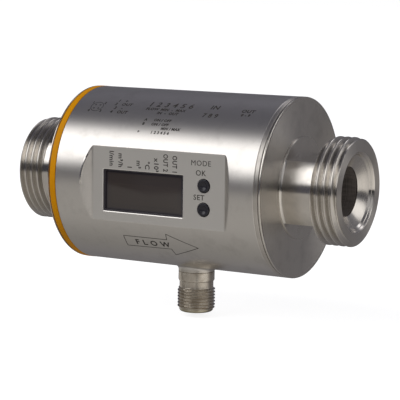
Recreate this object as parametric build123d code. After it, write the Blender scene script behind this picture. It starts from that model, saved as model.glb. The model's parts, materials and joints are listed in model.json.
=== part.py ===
from build123d import *
import os
from math import sqrt, sin, cos, radians, tan

# Inline electromagnetic flow meter with threaded ends.
# Millimetres. X is the flow axis (flow towards +X), -Y is the display side,
# +Z is up, the connector points down. Origin: middle of the flow bore.

# ---------------------------------------------------------------- dimensions
overall_half = 56.5        # half of the length over the threaded ends
face_x = 37.4              # outer face of each end flange
body_r = 27.9              # outside radius of the housing
wall_r = 24.0              # inside radius of the housing
spigot_r = 23.97           # flange spigots inside the housing
shell_x0 = -34.6           # housing, inlet end
shell_x1 = 35.3            # housing, outlet end

facet_y = -25.4            # plane of the milled flat
facet_x0 = -22.2
facet_x1 = 24.7
ramp_deg = 40.0            # slope of the flat's inlet end
ramp_out_deg = 47.0        # and of its outlet end
flat_round = 1.0           # rounding of the edges round the flat and its ends

win_x0, win_x1 = -18.3, 10.15      # window cut-out in the flat
win_z0, win_z1 = -8.55, 4.48
pane_y = -24.55            # outer face of the pane, set back in the cut-out
pane_t = 1.2
gasket_w = 0.5

button_x = 17.3
button_z = (1.72, -5.47)   # upper and lower button
button_r = 2.0
button_hole_r = 2.12
spot_y = -23.7             # seat of the button seals inside the wall
spot_r = 3.3

neck_r = 15.2              # neck of the end fittings, between flange and thread
flat_z = 9.6               # wrench flats above and below the neck, distance from the axis
collar_r, collar_h = 15.7, 0.4     # low round collar at the root of the neck
thread_r = 16.62           # G1 outside thread, crest radius
thread_x0 = 48.0
thread_cham = 0.7
mouth_r = 12.3             # edge of the recess in the end face
bore_r = 7.65              # clear bore
tube_r = 9.6               # outside radius of the measuring tube between the flanges
tube_end_r = 8.7           # and inside the end fittings
tube_step = 33.0
tube_half = 52.4

ring_x0, ring_x1 = -36.7, -34.6    # amber marker ring

conn_x = 1.0               # connector axis
boss_r = 5.8
boss_z = -29.1
conn_hole_r = 5.0
m12_r = 6.0                # M12 x 1 outside thread, crest radius
m12_z0, m12_z1 = -34.9, -41.0
conn_end_z = -42.3
socket_r = 4.35            # inside of the connector's mouth
socket_z = -34.4           # front face of the insert
pin_pcr = 2.9              # contact pins: pitch circle radius
pin_r = 0.5

board_front = -20.6        # display board, front face
board_t = 1.2
main_front = -17.6         # main board, front face
travel = 0.5               # travel of the buttons
button_top = -25.7         # rim of the button cap, just proud of the flat
button_round = 0.25        # rounding of that rim
dish_r = 1.3               # finger dimple in the middle of the cap
dish_depth = 0.5


# ------------------------------------------------------------------- helpers
def turned(pts):
    """Solid of revolution about the flow axis from (x, radius) points."""
    return revolve(make_face(Polyline(*[(x, r) for x, r in pts], close=True)), Axis.X)


def turned_z(pts, cx):
    """Solid of revolution about the connector axis from (radius, z) points."""
    prof = Plane.XZ * make_face(Polyline(*[(r, z) for r, z in pts], close=True))
    return Pos(cx, 0, 0) * revolve(prof, Axis.Z)


def block(x0, x1, y0, y1, z0, z1):
    return Pos((x0 + x1) / 2, (y0 + y1) / 2, (z0 + z1) / 2) * Box(x1 - x0, y1 - y0, z1 - z0)


def rod_y(x, z, r, y0, y1):
    return Pos(x, (y0 + y1) / 2, z) * Rot(90, 0, 0) * Cylinder(r, abs(y1 - y0))


def rod_z(x, y, r, z0, z1):
    return Pos(x, y, (z0 + z1) / 2) * Cylinder(r, abs(z1 - z0))


def rod_x(r, x0, x1):
    return Pos((x0 + x1) / 2, 0, 0) * Rot(0, 90, 0) * Cylinder(r, abs(x1 - x0))


def ring_x(x, major, minor):
    return Pos(x, 0, 0) * Rot(0, 90, 0) * Torus(major, minor)


def lead(points, r, bend):
    """Insulated wire along straight runs with rounded corners."""
    path = FilletPolyline(*points, radius=bend)
    start = path.wire() if hasattr(path, "wire") else path
    plane = Plane(origin=start @ 0, z_dir=start % 0)
    return sweep(plane * Circle(r), path=start)


parts = {}

# ------------------------------------------------------------------- housing
shell = rod_x(body_r, shell_x0, shell_x1)
shell = chamfer(shell.edges().filter_by(GeomType.CIRCLE), 0.2)
boss = rod_z(conn_x, 0, boss_r, -20, boss_z)
shell = shell + boss
seam = [e for e in shell.edges()
        if e.geom_type != GeomType.CIRCLE
        and abs(e.bounding_box().size.X - 2 * boss_r) < 0.2
        and e.bounding_box().max.Z < -26]
if not seam:
    seam = [e for e in shell.edges()
            if abs(e.bounding_box().center().X - conn_x) < 0.3
            and e.bounding_box().size.X < 2 * boss_r + 0.2
            and -28.2 < e.bounding_box().max.Z < -27]
shell = fillet(seam, 1.05)
shell = shell - rod_x(wall_r, shell_x0 - 1, shell_x1 + 1)
shell = shell - rod_z(conn_x, 0, conn_hole_r, -15, boss_z - 1)

# milled flat with sloped ends
run, run_out = [(body_r + 1 + facet_y) / tan(radians(a)) for a in (ramp_deg, ramp_out_deg)]
cutter = Plane.XY * make_face(Polyline((facet_x0, facet_y), (facet_x1, facet_y),
                                       (facet_x1 + run_out, -body_r - 1), (facet_x0 - run, -body_r - 1), close=True))
shell = shell - Pos(0, 0, -16) * extrude(cutter, 32)
outline = [e for e in shell.edges() if e.bounding_box().max.Y < facet_y + 0.2]
shell = fillet(outline, flat_round)

# window cut-out with a small chamfer all round
wcx, wcz = (win_x0 + win_x1) / 2, (win_z0 + win_z1) / 2
ww, wh = win_x1 - win_x0, win_z1 - win_z0
win_plane = Plane(origin=(wcx, 0, wcz), x_dir=(1, 0, 0), z_dir=(0, -1, 0))
opening = extrude(win_plane * RectangleRounded(ww, wh, 0.35), 32)
shell = shell - opening
lip, lip_deg = 0.1, 65
lip_plane = Plane(origin=(wcx, facet_y + lip, wcz), x_dir=(1, 0, 0), z_dir=(0, -1, 0))
shell = shell - extrude(lip_plane * RectangleRounded(ww, wh, 0.35), lip + 0.3, taper=-lip_deg)

# button holes, each with a countersunk edge and a seat on the inside
for bz in button_z:
    shell = shell - rod_y(button_x, bz, button_hole_r, -15, -30)
    shell = shell - rod_y(button_x, bz, spot_r, -15, spot_y)
    shell = shell - Pos(button_x, facet_y - 0.1, bz) * Rot(90, 0, 0) * Cone(
        button_hole_r, button_hole_r + 0.4, 0.4)
parts["housing"] = shell

# -------------------------------------------------------------- end fittings
mouth = [(overall_half - thread_cham + 0.0, thread_r), (overall_half, thread_r - thread_cham),
         (overall_half, mouth_r), (overall_half - 0.75, mouth_r - 0.55),
         (overall_half - 0.85, mouth_r - 0.75), (overall_half - 1.5, mouth_r - 1.2),
         (overall_half - 1.6, mouth_r - 1.45),
         (53.6, 8.9), (53.05, 8.1), (52.75, bore_r), (tube_half, bore_r), (tube_half, tube_end_r),
         (36.0, tube_end_r), (36.0, 10.05), (34.6, 10.05), (34.6, tube_end_r),
         (tube_step, tube_end_r), (tube_step, tube_r)]

neck = [(face_x, collar_r), (face_x + collar_h - 0.1, collar_r), (face_x + collar_h, collar_r - 0.1),
        (face_x + collar_h + 0.6, neck_r), (thread_x0 - 0.1, neck_r), (thread_x0 - 0.1, thread_r - 0.3),
        (thread_x0 + 0.2, thread_r)]

outlet_outer = [(30.0, tube_r), (30.0, 13.0), (33.0, 13.0), (33.0, spigot_r),
                (33.4, spigot_r), (33.4, 22.7), (34.7, 22.7), (34.7, spigot_r), (shell_x1, spigot_r),
                (shell_x1, body_r - 0.05), (shell_x1 + 0.1, body_r + 0.02), (36.5, body_r + 0.02), (36.58, body_r - 0.1),
                (36.6, body_r - 0.5), (36.85, body_r - 0.5), (36.87, body_r - 0.1), (36.95, body_r), (37.25, body_r),
                (face_x, body_r - 0.15)] + neck
inlet_outer = [(30.0, tube_r), (30.0, 13.0), (32.2, 13.0), (32.2, spigot_r),
               (32.5, spigot_r), (32.5, 22.7), (33.8, 22.7), (33.8, spigot_r), (-ring_x0, spigot_r),
               (-ring_x0, body_r - 0.6), (37.06, body_r - 0.6), (37.08, body_r - 0.1), (37.13, body_r), (37.33, body_r),
               (face_x, body_r - 0.1)] + neck

# tools for the two wrench flats, between the collar and the thread
flat_top = block(face_x + collar_h, thread_x0 - 0.1, -20, 20, flat_z, 20)
flat_bottom = block(face_x + collar_h, thread_x0 - 0.1, -20, 20, -20, -flat_z)


def fitting(outer):
    body = turned(outer + mouth)
    return body - flat_top - flat_bottom


parts["outlet_fitting"] = fitting(outlet_outer)
parts["inlet_fitting"] = mirror(fitting(inlet_outer), Plane.YZ)

# marker ring, pushed on the inlet fitting's spigot
parts["marker_ring"] = turned([(ring_x0, spigot_r), (ring_x1, spigot_r), (ring_x1, body_r - 0.05),
                               (ring_x1 - 0.12, body_r + 0.05), (ring_x0 + 0.12, body_r + 0.05),
                               (ring_x0, body_r - 0.1)])

# seals of the measuring tube and of the housing
parts["inlet_tube_seal"] = ring_x(-35.3, 9.36, 0.65)
parts["outlet_tube_seal"] = ring_x(35.3, 9.36, 0.65)
parts["inlet_housing_seal"] = ring_x(-33.15, 23.35, 0.65)
parts["outlet_housing_seal"] = ring_x(34.05, 23.35, 0.65)

# ------------------------------------------------------------ measuring tube
tube = turned([(-tube_half, bore_r), (tube_half, bore_r), (tube_half, tube_end_r), (tube_step, tube_end_r), (tube_step, tube_r),
               (-tube_step, tube_r), (-tube_step, tube_end_r), (-tube_half, tube_end_r)])
electrode_seat = 9.1
temp_x = 27.3
for s in (-1, 1):
    tube = tube - rod_y(0, 0, 3.0, s * electrode_seat, s * 12)
    tube = tube - rod_y(0, 0, 1.5, s * 5, s * 12)
tube = tube - rod_z(temp_x, 0, 2.4, electrode_seat, 12)
tube = tube - rod_z(temp_x, 0, 1.2, 5, 12)
parts["measuring_tube"] = tube

clear_bore = rod_x(bore_r + 0.02, -60, 60)
for s, nm in ((-1, "front"), (1, "rear")):
    pin = rod_y(0, 0, 1.48, s * 6.5, s * 9.6) + rod_y(0, 0, 2.8, s * 9.5, s * 10.8) + rod_y(0, 0, 0.7, s * 10.6, s * 12.8)
    parts[nm + "_electrode"] = pin - clear_bore
    parts[nm + "_electrode_seal"] = (rod_y(0, 0, 2.8, s * electrode_seat, s * 9.5)
                                     - rod_y(0, 0, 1.5, s * 8, s * 11))
sensor = rod_z(temp_x, 0, 1.18, 6.5, 9.3) + rod_z(temp_x, 0, 2.2, electrode_seat, 10.4) + rod_z(temp_x, 0, 1.2, 10.3, 13.0)
parts["temperature_sensor"] = sensor - clear_bore

# ------------------------------------------------------------- magnet system
yoke_y, yoke_z, yoke_t, yoke_half = 14.5, 17.2, 1.2, 11.0
frame_plane = Plane.YZ
yoke = Pos(-yoke_half, 0, 0) * extrude(frame_plane * (
    RectangleRounded(2 * yoke_y, 2 * yoke_z, 4.0)
    - RectangleRounded(2 * (yoke_y - yoke_t), 2 * (yoke_z - yoke_t), 2.8)), 2 * yoke_half)
yoke = yoke - rod_y(0, 0, 1.6, -20, 20)
parts["magnetic_yoke"] = yoke

shoe_angle = 52
for s, nm in ((1, "upper"), (-1, "lower")):
    wedge = make_face(Polyline((0, 0), (14 * sin(radians(shoe_angle)), s * 14 * cos(radians(shoe_angle))),
                               (0, s * 30), (-14 * sin(radians(shoe_angle)), s * 14 * cos(radians(shoe_angle))), close=True))
    sector = Pos(-9, 0, 0) * extrude(Plane.YZ * wedge, 18)
    shoe = (rod_x(10.65, -9, 9) - rod_x(tube_r + 0.05, -10, 10)) & sector
    core = rod_z(0, 0, 3.5, s * 10.2, s * 16.0)
    parts[nm + "_pole_piece"] = shoe + core
    bobbin = (rod_z(0, 0, 9.0, s * 10.75, s * 11.35) + rod_z(0, 0, 4.3, s * 10.75, s * 16.0)
              + rod_z(0, 0, 9.0, s * 15.4, s * 16.0)) - rod_z(0, 0, 3.53, s * 10, s * 17)
    parts[nm + "_coil_bobbin"] = bobbin
    winding = rod_z(0, 0, 8.2, s * 11.35, s * 15.4) - rod_z(0, 0, 4.3, s * 10, s * 17)
    parts[nm + "_coil_winding"] = fillet(winding.edges().filter_by(GeomType.CIRCLE).sort_by(SortBy.RADIUS)[-2:], 0.5)

# ---------------------------------------------------- boards and their holders
screw_x, screw_z = 21.9, 7.5
corners = [(sx * screw_x, sz * screw_z) for sx in (-1, 1) for sz in (-1, 1)]

bracket = (rod_x(12.2, 19.4, 24.4) + block(19.4, 24.4, main_front + board_t, -9.8, -9.5, 9.5)) - rod_x(tube_r + 0.02, 10, 30)
for sz in (-1, 1):
    bracket = bracket - rod_y(screw_x, sz * screw_z, 1.02, -18, -12.0)
parts["right_board_bracket"] = bracket
parts["left_board_bracket"] = mirror(bracket, Plane.YZ)

main_board = block(-26, 26, main_front, main_front + board_t, -13.5, 13.5)
display_board = block(-24, 24, board_front, board_front + board_t, -9.5, 9.5)
for cx, cz in corners:
    main_board = main_board - rod_y(cx, cz, 1.1, -19, -15)
    display_board = display_board - rod_y(cx, cz, 1.1, -22, -18)
parts["main_board"] = main_board
parts["display_board"] = display_board

standoffs, screws = [], []
for cx, cz in corners:
    standoffs.append(rod_y(cx, cz, 1.9, board_front + board_t, main_front) - rod_y(cx, cz, 1.1, -22, -15))
    head = rod_y(cx, cz, 1.65, board_front - 1.0, board_front)
    head = head - Pos(cx, board_front - 1.0, cz) * (Box(0.4, 1.0, 2.0) + Box(2.0, 1.0, 0.4))
    screws.append(head + rod_y(cx, cz, 1.0, board_front - 0.2, -12.4))
parts["board_standoffs"] = Compound(children=[s.solid() if hasattr(s, "solid") else s for s in standoffs])
parts["board_screws"] = Compound(children=[s.solid() if hasattr(s, "solid") else s for s in screws])

parts["board_header"] = block(-6, 6, board_front + board_t, main_front, 5.0, 7.5)
parts["processor_chip"] = block(-6.5, 2.5, main_front + board_t, main_front + board_t + 1.0, -12.0, -3.0)
parts["amplifier_chip"] = block(5.0, 10.0, main_front + board_t, main_front + board_t + 1.2, -9.0, -5.0)
caps = [fillet(rod_y(-16.2, z, 2.2, main_front + board_t, -11.6).edges().filter_by(GeomType.CIRCLE), 0.25)
        for z in (-3.2, 3.2)]
parts["storage_capacitors"] = Compound(children=[c.solid() for c in caps])

# ------------------------------------------------------------------- display
carrier = block(-20.0, 12.0, -24.2, board_front, -9.5, 5.8) & rod_x(wall_r - 0.05, -30, 30)
carrier = carrier - block(win_x0 - 0.05, win_x1 + 0.05, -26, pane_y + pane_t, win_z0 - 0.05, win_z1 + 0.05)
carrier = carrier - block(win_x0 + 1.2, win_x1 - 1.2, -26, -15, win_z0 + 1.0, win_z1 - 0.7)
parts["display_carrier"] = carrier

gasket_plane = Plane(origin=(wcx, pane_y + pane_t, wcz), x_dir=(1, 0, 0), z_dir=(0, -1, 0))
parts["window_gasket"] = extrude(gasket_plane * (
    RectangleRounded(ww - 0.04, wh - 0.04, 0.33)
    - RectangleRounded(ww - 2 * gasket_w, wh - 2 * gasket_w, 0.25)), pane_t)
pane = extrude(gasket_plane * RectangleRounded(ww - 2 * gasket_w, wh - 2 * gasket_w, 0.25), pane_t - 0.05)
parts["display_window"] = pane

parts["display_module"] = block(-16.4, 8.4, -23.0, board_front, -7.2, 0.9)
led_pitch, led_x0 = 3.2, -15.2
leds = [block(led_x0 + led_pitch * i - 0.8, led_x0 + led_pitch * i + 0.8, board_front - 0.8, board_front, 1.9, 2.8)
        for i in range(8)]
parts["indicator_leds"] = Compound(children=[l.solid() for l in leds])

# ------------------------------------------------------------------- buttons
seal_y = spot_y + 0.3
for nm, bz in zip(("mode", "set"), button_z):
    # dished cap, guided in the wall, with a retaining flange and a pressing nose inside
    cap = rod_y(button_x, bz, button_r, button_top, seal_y + 0.03)
    cap = fillet(cap.edges().filter_by(GeomType.CIRCLE).sort_by(Axis.Y)[0], button_round)
    ball_r = (dish_r ** 2 + dish_depth ** 2) / (2 * dish_depth)
    cap = cap - Pos(button_x, button_top + dish_depth - ball_r, bz) * Sphere(ball_r)
    cap = cap + rod_y(button_x, bz, 3.1, -22.9, seal_y + 0.03) + rod_y(button_x, bz, 1.2, -22.6, -23.0)
    parts[nm + "_button"] = cap
    parts[nm + "_button_seal"] = rod_y(button_x, bz, 3.2, spot_y, seal_y) - rod_y(button_x, bz, 2.1, -25, -22)
    # tactile switch on the display board and its plunger
    switch = block(button_x - 2.1, button_x + 2.1, -22.0, board_front, bz - 2.1, bz + 2.1)
    switch = chamfer(switch.edges().filter_by(Axis.Y), 0.3)
    parts[nm + "_switch"] = switch - rod_y(button_x, bz, 1.08, -23, -21.1)
    parts[nm + "_switch_plunger"] = rod_y(button_x, bz, 1.0, -22.6, -21.7)

# ----------------------------------------------------------------- connector
parts["connector_shell"] = turned_z([
    (4.97, -23.6), (4.97, -25.6), (4.3, -25.6), (4.3, -26.6), (4.97, -26.6), (4.97, boss_z),
    (5.6, boss_z), (5.6, boss_z - 0.22), (5.78, boss_z - 0.3), (5.78, -31.9), (5.62, -32.25),
    (5.62, -32.4), (5.42, -32.55), (5.42, -34.45), (m12_r - 0.1, m12_z0), (m12_r, m12_z0 - 0.1), (m12_r, m12_z1 + 0.1),
    (5.5, m12_z1 - 0.25), (5.42, -41.7), (5.2, -42.1), (4.9, conn_end_z), (4.6, conn_end_z),
    (socket_r, conn_end_z + 0.25), (socket_r, -34.0), (3.87, -34.0), (3.87, -23.6)], conn_x)
insert = rod_z(conn_x, 0, 3.85, -22.3, -34.1) + rod_z(conn_x, 0, socket_r - 0.02, -34.0, socket_z)
insert = insert + (block(conn_x - 0.5, conn_x + 0.5, 3.55, socket_r - 0.1, -40.8, -34.2))
pins = []
for k in range(4):
    px = conn_x + pin_pcr * cos(radians(90 * k))
    py = pin_pcr * sin(radians(90 * k))
    insert = insert - rod_z(px, py, pin_r + 0.01, -15, -36)
    contact = rod_z(px, py, pin_r, -20.9, -40.6)
    contact = contact + Pos(px, py, -40.8) * Cone(pin_r * 0.45, pin_r, 0.4)
    pins.append(contact)
parts["connector_insert"] = insert
parts["contact_pins"] = Compound(children=[p.solid() for p in pins])
parts["connector_seal"] = Pos(conn_x, 0, -26.1) * Torus(4.65, 0.34)
disc = rod_z(conn_x, 0, 4.6, -22.3, -21.5)
for k in range(4):
    disc = disc - rod_z(conn_x + pin_pcr * cos(radians(90 * k)), pin_pcr * sin(radians(90 * k)), pin_r + 0.02, -25, -15)
parts["connector_board"] = disc

# flex strip from the connector board to the front of the main board
up = [(-3.6, -21.2), (-8.0, -20.45), (-14.12, -17.87), (-17.6, -14.74), (-17.6, -11.8)]
dn = [(-17.9, -11.8), (-17.9, -14.86), (-14.28, -18.13), (-8.0, -20.75), (-3.6, -21.5)]
strip = make_face(Polyline(*(up + dn), close=True))
parts["connector_flex"] = Pos(conn_x - 1.9, 0, 0) * extrude(Plane.YZ * strip, 3.8)

# ---------------------------------------------------------------------- leads
front_lead = rod_y(0, 0, 0.4, -16.4, -12.8)
rear_lead = lead([(0, 12.8, 0), (0, 16.0, 0), (8.0, 16.6, 4.0), (15.8, 13.0, 9.0), (16.2, 4.0, 13.2),
                  (16.2, -6.0, 13.2), (16.2, -12.0, 11.2), (16.2, -16.4, 11.2)], 0.4, 1.0)
parts["electrode_leads"] = Compound(children=[front_lead.solid(), rear_lead.solid()])
coil_wires = []
for s in (1, -1):
    coil_wires.append(lead([(-8.2, -2.0, s * 13.4), (-12.6, -5.0, s * 13.4), (-15.0, -11.0, s * 11.8), (-15.0, -16.4, s * 11.8)],
                           0.35, 1.2))
parts["coil_leads"] = Compound(children=[w.solid() for w in coil_wires])
parts["temperature_lead"] = lead([(temp_x, 0, 13.0), (temp_x, 0, 14.8), (26.6, -6.5, 15.2), (25.2, -12.4, 12.6),
                                  (25.2, -16.4, 12.6)], 0.35, 0.9)

# --------------------------------------------------------------------- export
os.makedirs("parts", exist_ok=True)
for name, shape in parts.items():
    export_step(shape, "parts/" + name + ".step")
    print(name)
print(len(parts), "nodes")
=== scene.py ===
import bpy
import bmesh
import json
from math import sin, cos, tan, pi, radians, degrees, sqrt, atan2, asin, acos, hypot
from mathutils import Vector, Matrix

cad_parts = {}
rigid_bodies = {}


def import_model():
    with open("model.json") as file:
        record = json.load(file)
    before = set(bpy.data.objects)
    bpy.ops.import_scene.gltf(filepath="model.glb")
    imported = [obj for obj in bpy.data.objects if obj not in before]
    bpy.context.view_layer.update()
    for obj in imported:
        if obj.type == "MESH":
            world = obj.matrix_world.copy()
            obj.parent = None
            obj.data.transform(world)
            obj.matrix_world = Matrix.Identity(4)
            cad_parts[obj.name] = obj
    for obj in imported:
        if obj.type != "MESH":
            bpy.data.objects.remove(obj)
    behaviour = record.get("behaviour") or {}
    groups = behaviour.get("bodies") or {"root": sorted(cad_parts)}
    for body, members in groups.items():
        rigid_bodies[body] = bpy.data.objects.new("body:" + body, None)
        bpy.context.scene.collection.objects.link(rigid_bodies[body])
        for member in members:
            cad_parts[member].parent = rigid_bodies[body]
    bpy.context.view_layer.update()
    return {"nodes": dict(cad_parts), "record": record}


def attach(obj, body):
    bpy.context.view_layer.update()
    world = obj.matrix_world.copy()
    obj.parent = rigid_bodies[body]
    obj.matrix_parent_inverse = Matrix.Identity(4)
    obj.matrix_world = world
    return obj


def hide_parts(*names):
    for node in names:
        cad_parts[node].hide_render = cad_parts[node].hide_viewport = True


for o in list(bpy.data.objects):
    bpy.data.objects.remove(o)

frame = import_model()
NODES = frame["nodes"]
MM = 0.001
scene = bpy.context.scene
scene.view_settings.view_transform = "Standard"
scene.view_settings.look = "None"
scene.view_settings.exposure = 0.0
scene.view_settings.gamma = 1.0

# main sizes, in millimetres, as in the CAD model
BODY_R = 27.9
SHELL_X0, SHELL_X1 = -34.6, 35.3
FACET_Y, FACET_X0, FACET_X1, RAMP_DEG = -25.4, -22.2, 24.7, (40.0, 47.0)
WIN_X0, WIN_X1, WIN_Z0, WIN_Z1 = -18.3, 10.15, -8.55, 4.48
FACE_X, HALF = 37.4, 56.5
NECK_R, FLAT_Z, COLLAR_R, COLLAR_H = 15.2, 9.6, 15.7, 0.4
THREAD_R, THREAD_X0, THREAD_CHAM = 16.62, 48.0, 0.7
MOUTH_R, BORE_R, TUBE_R, TUBE_END_R, TUBE_STEP, TUBE_HALF = 12.3, 7.65, 9.6, 8.7, 33.0, 52.4
SPIGOT_R = 23.97
RING_X0, RING_X1 = -36.7, -34.6
CONN_X, BOSS_Z = 1.0, -29.1
M12_R, M12_Z0, M12_Z1, CONN_END_Z = 6.0, -34.9, -41.0, -42.3
BUTTON_X, BUTTON_Z, BUTTON_R = 17.3, (1.72, -5.47), 2.0
BUTTON_TOP, BUTTON_ROUND, DISH_R, DISH_DEPTH = -25.7, 0.25, 1.3, 0.5


# ------------------------------------------------------------ node shorthand
class Net:
    """Small helper that builds shader nodes as expressions."""

    def __init__(self, tree):
        self.t = tree
        self.n = tree.nodes
        self.l = tree.links

    def node(self, kind, **kw):
        nd = self.n.new(kind)
        for k, v in kw.items():
            setattr(nd, k, v)
        return nd

    def put(self, sock, v):
        if isinstance(v, bpy.types.NodeSocket):
            self.l.new(v, sock)
        else:
            sock.default_value = v

    def m(self, op, a, b=None, c=None, clamp=False):
        nd = self.node("ShaderNodeMath", operation=op, use_clamp=clamp)
        self.put(nd.inputs[0], a)
        if b is not None:
            self.put(nd.inputs[1], b)
        if c is not None:
            self.put(nd.inputs[2], c)
        return nd.outputs[0]

    def vm(self, op, a, b=None):
        nd = self.node("ShaderNodeVectorMath", operation=op)
        self.put(nd.inputs[0], a)
        if b is not None:
            self.put(nd.inputs[1], b)
        return nd.outputs["Value"] if op in ("DOT_PRODUCT", "LENGTH", "DISTANCE") else nd.outputs["Vector"]

    def xyz(self, v):
        nd = self.node("ShaderNodeSeparateXYZ")
        self.put(nd.inputs[0], v)
        return nd.outputs

    def comb(self, x, y, z):
        nd = self.node("ShaderNodeCombineXYZ")
        for i, v in enumerate((x, y, z)):
            self.put(nd.inputs[i], v)
        return nd.outputs[0]

    def step(self, v, lo, hi, to0=0.0, to1=1.0):
        """Smooth step from to0 at lo to to1 at hi."""
        nd = self.node("ShaderNodeMapRange", interpolation_type="SMOOTHSTEP")
        for i, x in enumerate((v, lo, hi, to0, to1)):
            self.put(nd.inputs[i], x)
        return nd.outputs[0]

    def lin(self, v, lo, hi, to0=0.0, to1=1.0):
        nd = self.node("ShaderNodeMapRange")
        nd.clamp = True
        for i, x in enumerate((v, lo, hi, to0, to1)):
            self.put(nd.inputs[i], x)
        return nd.outputs[0]

    def mix(self, f, a, b, kind="RGBA", blend="MIX"):
        nd = self.node("ShaderNodeMix", data_type=kind)
        if kind == "RGBA":
            nd.blend_type = blend
            self.put(nd.inputs[0], f)
            self.put(nd.inputs[6], a)
            self.put(nd.inputs[7], b)
            return nd.outputs[2]
        self.put(nd.inputs[0], f)
        self.put(nd.inputs[2], a)
        self.put(nd.inputs[3], b)
        return nd.outputs[0]

    def noise(self, vec, scale, detail=3.0, rough=0.5, dims="3D"):
        nd = self.node("ShaderNodeTexNoise", noise_dimensions=dims)
        if dims == "1D":
            self.put(nd.inputs["W"], vec)
        else:
            self.put(nd.inputs["Vector"], vec)
        nd.inputs["Scale"].default_value = scale
        nd.inputs["Detail"].default_value = detail
        nd.inputs["Roughness"].default_value = rough
        return nd.outputs["Fac"]

    def ramp(self, f, stops, mode="LINEAR"):
        nd = self.node("ShaderNodeValToRGB")
        nd.color_ramp.interpolation = mode
        el = nd.color_ramp.elements
        while len(el) > 2:
            el.remove(el[-1])
        for i, (p, c) in enumerate(stops):
            e = el[i] if i < 2 else el.new(p)
            e.position = p
            e.color = (*c, 1.0) if len(c) == 3 else c
        self.put(nd.inputs[0], f)
        return nd.outputs[0]

    def bump(self, height, dist, strength=1.0, normal=None):
        nd = self.node("ShaderNodeBump")
        nd.inputs["Strength"].default_value = strength
        nd.inputs["Distance"].default_value = dist
        self.put(nd.inputs["Height"], height)
        if normal is not None:
            self.put(nd.inputs["Normal"], normal)
        return nd.outputs[0]


def material(name, metallic=0.0, ior=1.5, spec=0.5, coat=0.0, coat_rough=0.1, sheen=0.0):
    """New material with a Principled shader; returns (material, net, shader, object position in mm)."""
    mat = bpy.data.materials.new(name)
    mat.use_nodes = True
    t = mat.node_tree
    net = Net(t)
    b = t.nodes["Principled BSDF"]
    b.inputs["Metallic"].default_value = metallic
    b.inputs["IOR"].default_value = ior
    b.inputs["Specular IOR Level"].default_value = spec
    b.inputs["Coat Weight"].default_value = coat
    b.inputs["Coat Roughness"].default_value = coat_rough
    b.inputs["Sheen Weight"].default_value = sheen
    tc = net.node("ShaderNodeTexCoord")
    pos = net.node("ShaderNodeVectorMath", operation="SCALE")
    net.l.new(tc.outputs["Object"], pos.inputs[0])
    pos.inputs["Scale"].default_value = 1000.0
    return mat, net, b, pos.outputs[0]


def lin_rgb(r, g, b):
    """sRGB 0-255 to scene-linear."""
    out = []
    for c in (r, g, b):
        c /= 255.0
        out.append(c / 12.92 if c <= 0.04045 else ((c + 0.055) / 1.055) ** 2.4)
    return tuple(out)


# ---------------------------------------------------------------- materials
MATS = {}


def steel_common(net, b, pos, base, dark, var_scale=0.12):
    """Slow tone variation, as handling and cleaning leave on bare steel."""
    slow = net.noise(pos, var_scale, 3, 0.6)
    f = net.lin(slow, 0.35, 0.68)
    return net.mix(f, (*base, 1), (*dark, 1))


def mat_housing():
    mat, net, b, pos = material("housing_steel_finish", metallic=1.0)
    x, y, z = net.xyz(pos)
    geo = net.node("ShaderNodeNewGeometry")
    nx, ny, nz = net.xyz(geo.outputs["True Normal"])
    # the milled flat is set off from the turned tube by its plane
    flat = net.m("MULTIPLY", net.step(y, -25.55, -25.45), net.step(ny, -0.985, -0.997))
    flat = net.m("MULTIPLY", flat, net.step(y, -25.2, -25.32))
    # fine blasted grain
    grain = net.noise(pos, 5.5, 2.5, 0.55)
    grain2 = net.noise(pos, 2.1, 2.0, 0.6)
    # faint turning lines round the tube
    lines = net.noise(net.comb(net.m("MULTIPLY", x, 9.0), net.m("MULTIPLY", y, 0.12), net.m("MULTIPLY", z, 0.12)), 1.0, 2.0, 0.5)
    # a few smudges and rub marks
    smudge = net.lin(net.noise(pos, 0.16, 4, 0.62), 0.52, 0.78)
    base = net.mix(smudge, (*lin_rgb(203, 199, 194), 1), (*lin_rgb(190, 186, 181), 1))
    base = net.mix(net.lin(grain, 0.3, 0.7), base, net.mix(0.10, base, (0.25, 0.24, 0.23, 1)))
    # painted shade: inside the tube and bores the bare metal is darkened
    rad = net.m("SQRT", net.m("ADD", net.m("MULTIPLY", y, y), net.m("MULTIPLY", z, z)))
    inside = net.step(rad, 24.9, 24.2)
    base = net.mix(net.m("MULTIPLY", inside, 0.45), base, (0.2, 0.19, 0.18, 1))
    # light straw tint where the boss was worked hot
    heat = net.m("MULTIPLY", net.step(z, -27.9, -28.7), 0.22)
    base = net.mix(heat, base, (*lin_rgb(150, 136, 108), 1))
    base = net.mix(net.m("MULTIPLY", flat, 0.85), base, (*lin_rgb(220, 217, 212), 1))
    # painted shade: the inlet ramp's colour darkens towards the tube
    ramp = net.m("MULTIPLY", net.step(nx, 0.5, 0.6), net.step(ny, -0.65, -0.72))
    ramp = net.m("MULTIPLY", ramp, net.step(rad, 28.2, 28.1))
    base = net.mix(net.m("MULTIPLY", ramp, net.m("MULTIPLY", net.step(x, -23.2, -25.6), 0.16)), base, (0.2, 0.2, 0.2, 1))
    net.l.new(base, b.inputs["Base Color"])
    turned_about(net, b, "X", 0.35)
    r = net.m("ADD", 0.325, net.m("MULTIPLY", net.m("SUBTRACT", grain, 0.5), 0.16))
    r = net.m("ADD", r, net.m("MULTIPLY", smudge, 0.035))
    r = net.mix(flat, r, net.m("ADD", 0.42, net.m("MULTIPLY", net.m("SUBTRACT", grain, 0.5), 0.12)), kind="FLOAT")
    net.l.new(r, b.inputs["Roughness"])
    h = net.m("ADD", net.m("MULTIPLY", grain, 0.7), net.m("MULTIPLY", grain2, 0.5))
    h = net.m("ADD", h, net.m("MULTIPLY", lines, 0.30))
    net.l.new(net.bump(h, 0.010 * MM, 1.0), b.inputs["Normal"])
    return mat


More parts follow.
